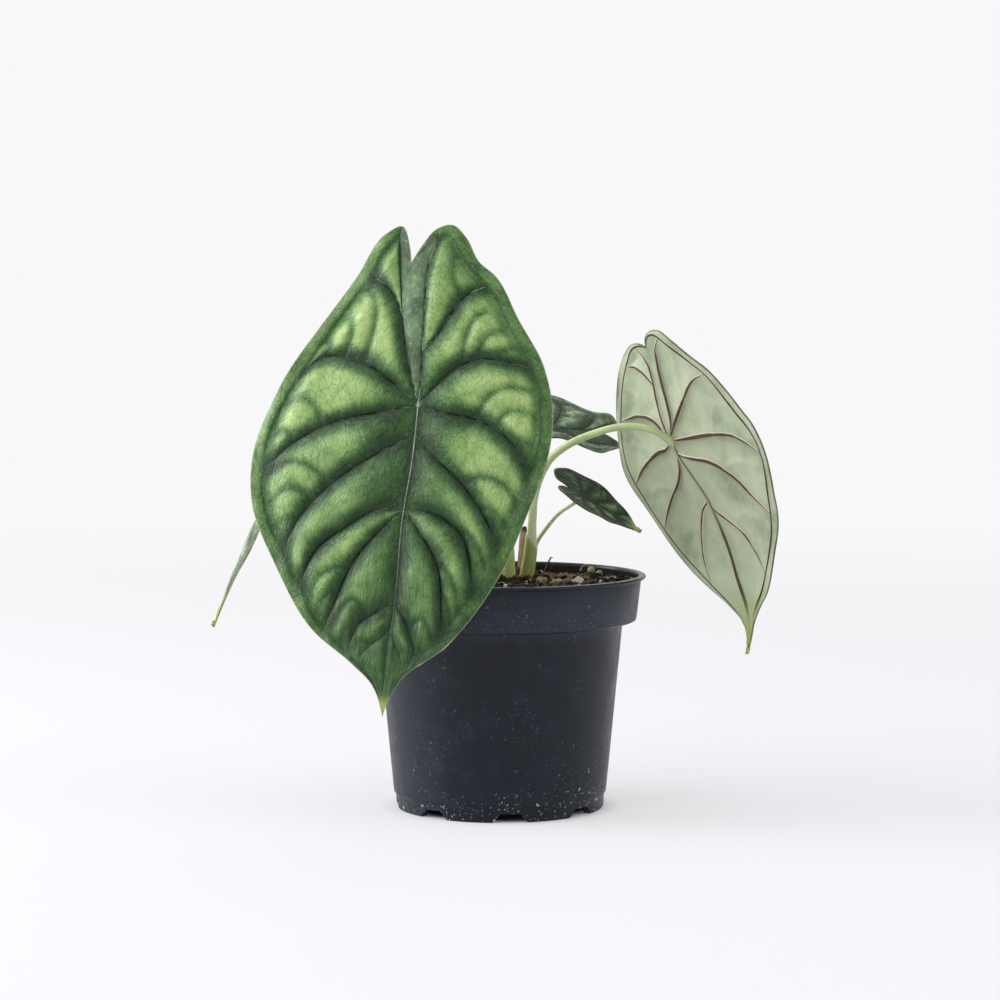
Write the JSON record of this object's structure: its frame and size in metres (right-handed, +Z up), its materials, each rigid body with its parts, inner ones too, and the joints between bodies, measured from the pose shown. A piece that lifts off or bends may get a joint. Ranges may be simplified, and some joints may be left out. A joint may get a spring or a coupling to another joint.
{
  "type": "potted dragon scale alocasia",
  "caption": "Dragon scale alocasia with thick ribbed shield leaves on pale arching stalks, growing in soil in a round black nursery pot.",
  "frame": {"origin": "centre of the pot's underside, on the floor it stands on", "axes": "+Z up along the pot's axis; -Y towards the viewer, the way the largest leaf faces; +X towards the leaf seen from below"},
  "size_m": [0.2326, 0.1514, 0.2378],
  "materials": {
    "pot_plastic": "matte black moulded plastic, slightly dusty",
    "peat": "dark crumbly peat with bark chips",
    "crown_husk": "reddish brown fibrous husk",
    "stalk_green": "smooth pale green skin",
    "dry_husk": "dry papery brown",
    "leaf_light": "leathery, satin, dark green along the veins and light green between them",
    "leaf_pale": "matte grey-green lower side with purple brown veins",
    "leaf_dark": "leathery, satin, dark green"
  },
  "bodies": {
    "root": {"pot": "pot_plastic", "soil": "peat", "crown": "crown_husk", "stalk_front": "stalk_green", "stalk_right": "stalk_green", "stalk_back": "stalk_green", "stalk_left": "stalk_green", "stalk_small": "stalk_green", "dry_stalk": "dry_husk", "blade_front": "leaf_light", "blade_right": "leaf_pale", "blade_back": "leaf_dark", "blade_left": "leaf_dark", "blade_small": "leaf_dark"}
  },
  "joints": []
}
